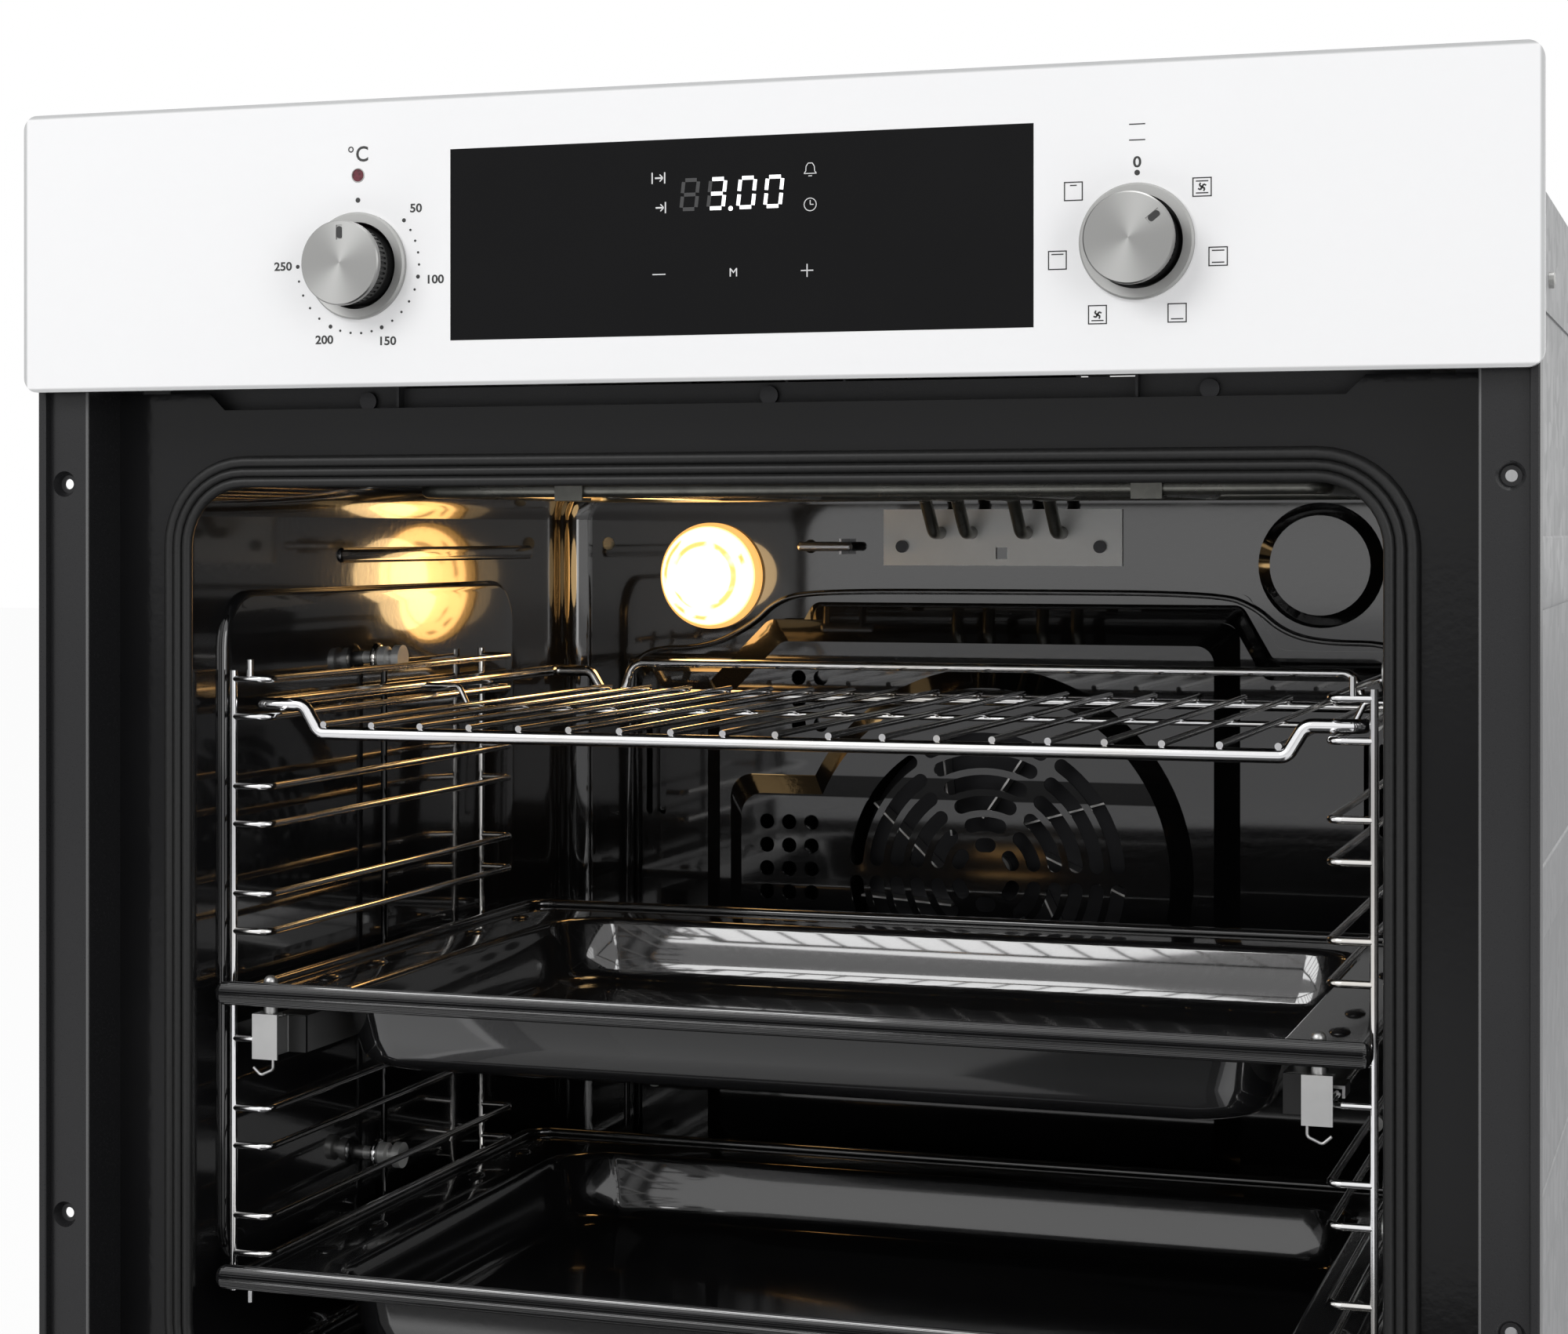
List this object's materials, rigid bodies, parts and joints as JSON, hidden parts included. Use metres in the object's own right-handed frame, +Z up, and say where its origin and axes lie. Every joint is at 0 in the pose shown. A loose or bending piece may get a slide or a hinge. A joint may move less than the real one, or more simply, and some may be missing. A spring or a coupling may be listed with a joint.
{
  "type": "wall oven",
  "caption": "Built-in electric wall oven with white glass control panel, retractable knobs, clock display, drop-down door, enamelled cavity, wire shelf, telescopic tray and lower tray.",
  "frame": {"origin": "middle of the housing's lower front edge: on the base, in the plane of the cabinet's front", "axes": "+X to the user's right, +Y into the cabinet, +Z up; the door is open 90 degrees at rest"},
  "size_m": [0.595, 1.0177, 0.642],
  "materials": {
    "galvanised": "spangled zinc, satin",
    "black_enamel": "gloss vitreous enamel",
    "tray_enamel": "gloss vitreous enamel",
    "silicone": "matt",
    "wool": "fibrous",
    "white_glass": "back-printed white glass",
    "door_glass": "white and black print behind the glass",
    "clear_glass": "clear",
    "bulb_glass": "warm, lit",
    "black_plastic": "fine satin",
    "knob_plastic": "satin black with a fluted band",
    "red_lens": "translucent red",
    "knob_metal": "radially brushed",
    "steel": "plain turned and pressed steel",
    "chromed_wire": "bright plating",
    "runner_steel": "bright plating",
    "heater_sheath": "olive oxidised steel",
    "ceramic_white": "matt",
    "motor_metal": "plated laminations and can",
    "door_metal": "grey powder coat",
    "handle_metal": "brushed along the bar"
  },
  "bodies": {
    "housing": {"base_panel": "galvanised", "side_panel_right": "galvanised", "side_panel_left": "galvanised", "top_cover": "galvanised", "rear_panel": "galvanised", "switch_bracket": "galvanised", "cooling_fan_housing": "galvanised", "hinge_brackets": "galvanised", "front_frame": "black_enamel", "cavity_liner": "black_enamel", "rear_baffle": "black_enamel", "door_gasket": "silicone", "insulation_blanket": "wool", "control_panel_glass": "white_glass", "lamp_glass": "clear_glass", "lamp_bulb": "bulb_glass", "panel_carrier": "black_plastic", "display_module": "black_plastic", "thermostat_body": "black_plastic", "selector_body": "black_plastic", "terminal_cover": "black_plastic", "indicator_lamp": "red_lens", "thermostat_collar": "knob_metal", "selector_collar": "knob_metal", "heater_flange": "steel", "heater_clips": "steel", "screws": "steel", "temperature_probe": "steel", "ladder_right": "chromed_wire", "ladder_left": "chromed_wire", "ladder_nuts": "chromed_wire", "runner_rails": "runner_steel", "grill_heater": "heater_sheath", "top_heater": "heater_sheath", "bottom_heater": "heater_sheath", "lamp_holder": "ceramic_white", "convection_fan_motor": "motor_metal", "cooling_fan_motor": "motor_metal"},
    "thermostat_shaft": {"thermostat_spindle": "steel"},
    "thermostat_knob": {"thermostat_grip": "knob_plastic", "thermostat_cap": "knob_metal"},
    "selector_shaft": {"selector_spindle": "steel"},
    "selector_knob": {"selector_grip": "knob_plastic", "selector_cap": "knob_metal"},
    "convection_fan": {"convection_fan_wheel": "steel"},
    "cooling_fan": {"cooling_fan_wheel": "steel"},
    "rack": {"wire_rack": "chromed_wire"},
    "tray_carriage": {"upper_tray": "tray_enamel", "runner_slides": "runner_steel"},
    "runner_stages": {"runner_middles": "runner_steel"},
    "drip_tray": {"lower_tray": "tray_enamel"},
    "door": {"hinge_arms": "steel", "door_outer_glass": "door_glass", "door_side_rails": "door_metal", "door_top_rail": "door_metal", "door_bottom_rail": "door_metal", "door_middle_glass": "clear_glass", "door_inner_glass": "clear_glass", "door_handle_bar": "handle_metal", "door_handle_posts": "handle_metal"}
  },
  "joints": [
    {"name": "door_hinge", "type": "hinge", "parent": "housing", "child": "door", "pos_m": [0, -0.006, 0.016], "axis": [-1, 0, 0], "range_deg": [0, 90]},
    {"name": "thermostat_turn", "type": "hinge", "parent": "housing", "child": "thermostat_shaft", "pos_m": [-0.1484, 0, 0.5305], "axis": [0, 1, 0], "range_deg": [0, 270]},
    {"name": "thermostat_push", "type": "slide", "parent": "thermostat_shaft", "child": "thermostat_knob", "axis": [0, 1, 0], "range_m": [0, 0.011]},
    {"name": "selector_turn", "type": "hinge", "parent": "housing", "child": "selector_shaft", "pos_m": [0.1573, 0, 0.5305], "axis": [0, 1, 0], "range_deg": [-51.4, 257.1]},
    {"name": "selector_push", "type": "slide", "parent": "selector_shaft", "child": "selector_knob", "axis": [0, 1, 0], "range_m": [0, 0.011]},
    {"name": "convection_fan_spin", "type": "hinge", "parent": "housing", "child": "convection_fan", "pos_m": [-0.003, 0, 0.255], "axis": [0, 1, 0], "continuous": true},
    {"name": "cooling_fan_spin", "type": "hinge", "parent": "housing", "child": "cooling_fan", "pos_m": [0, 0.19, 0], "axis": [0, 0, 1], "continuous": true},
    {"name": "rack_slide", "type": "slide", "parent": "housing", "child": "rack", "axis": [0, 1, 0], "range_m": [-0.3, 0]},
    {"name": "upper_tray_slide", "type": "slide", "parent": "housing", "child": "tray_carriage", "axis": [0, 1, 0], "range_m": [-0.25, 0]},
    {"name": "runner_stage_slide", "type": "slide", "parent": "housing", "child": "runner_stages", "axis": [0, 1, 0], "range_m": [-0.125, 0]},
    {"name": "lower_tray_slide", "type": "slide", "parent": "housing", "child": "drip_tray", "axis": [0, 1, 0], "range_m": [-0.3, 0]}
  ],
  "couplings": [
    {"joint": "runner_stage_slide", "follows": "upper_tray_slide", "ratio": 0.5}
  ]
}
